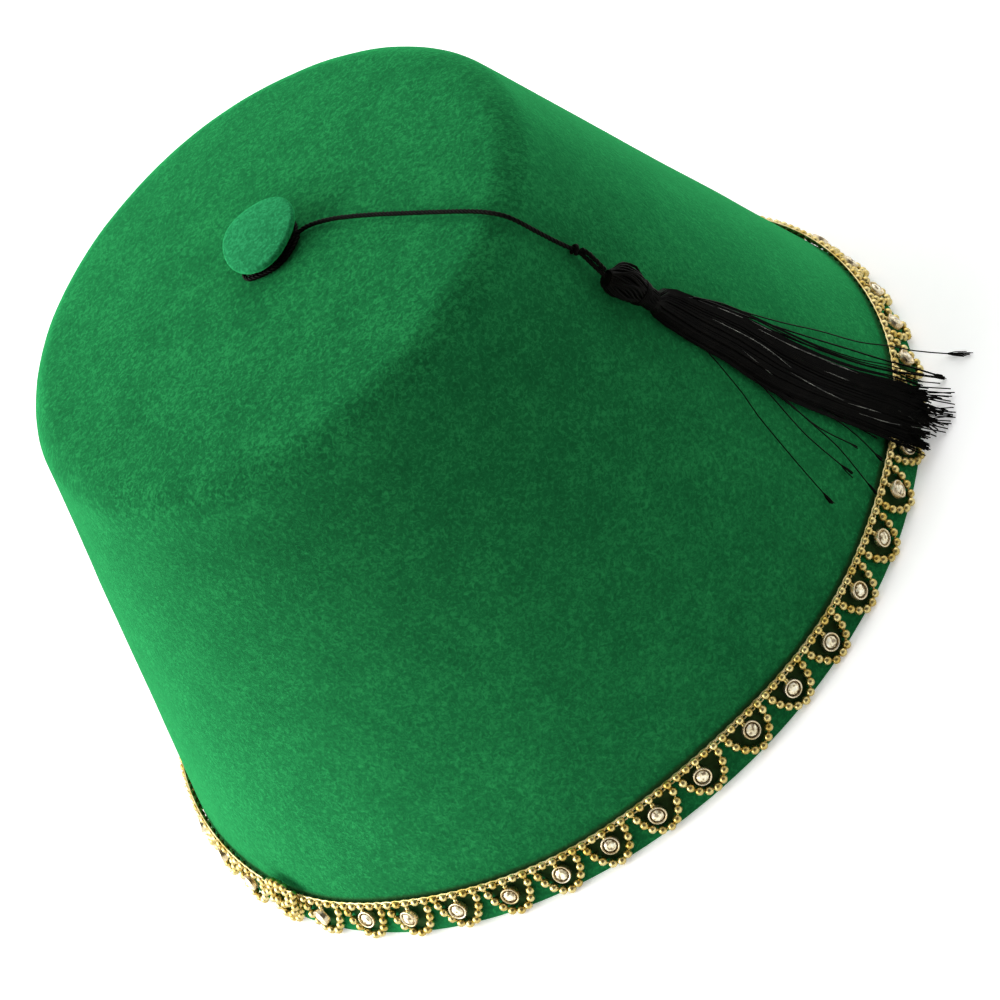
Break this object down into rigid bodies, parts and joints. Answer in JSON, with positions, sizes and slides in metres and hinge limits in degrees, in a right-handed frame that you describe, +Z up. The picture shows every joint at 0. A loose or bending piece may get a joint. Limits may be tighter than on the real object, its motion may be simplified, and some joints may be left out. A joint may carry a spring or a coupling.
{
  "type": "fez hat",
  "caption": "Stiff felt fez: tapered crown with a flat top, felt button, short cord and tassel, and a beaded trim with stones round the rim.",
  "frame": {"origin": "middle of the open rim, on the plane that the rim rests on", "axes": "+Z up through the middle of the crown; +X along the rim's slightly longer axis; the camera side is -Y, and the tassel hangs between +X and -Y"},
  "size_m": [0.1948, 0.1898, 0.1179],
  "materials": {
    "felt": "green pressed felt, matt, short fuzz",
    "black_cord": "black twisted cord",
    "tassel_rayon": "black rayon threads with a soft sheen",
    "gilt_beads": "bright pale gold plating, clear stones in the cups"
  },
  "bodies": {
    "root": {"felt_crown": "felt", "top_button": "felt", "tassel_cord": "black_cord", "cord_knot": "black_cord", "tassel": "tassel_rayon", "beaded_row": "gilt_beads", "beaded_scallops": "gilt_beads"}
  },
  "joints": []
}
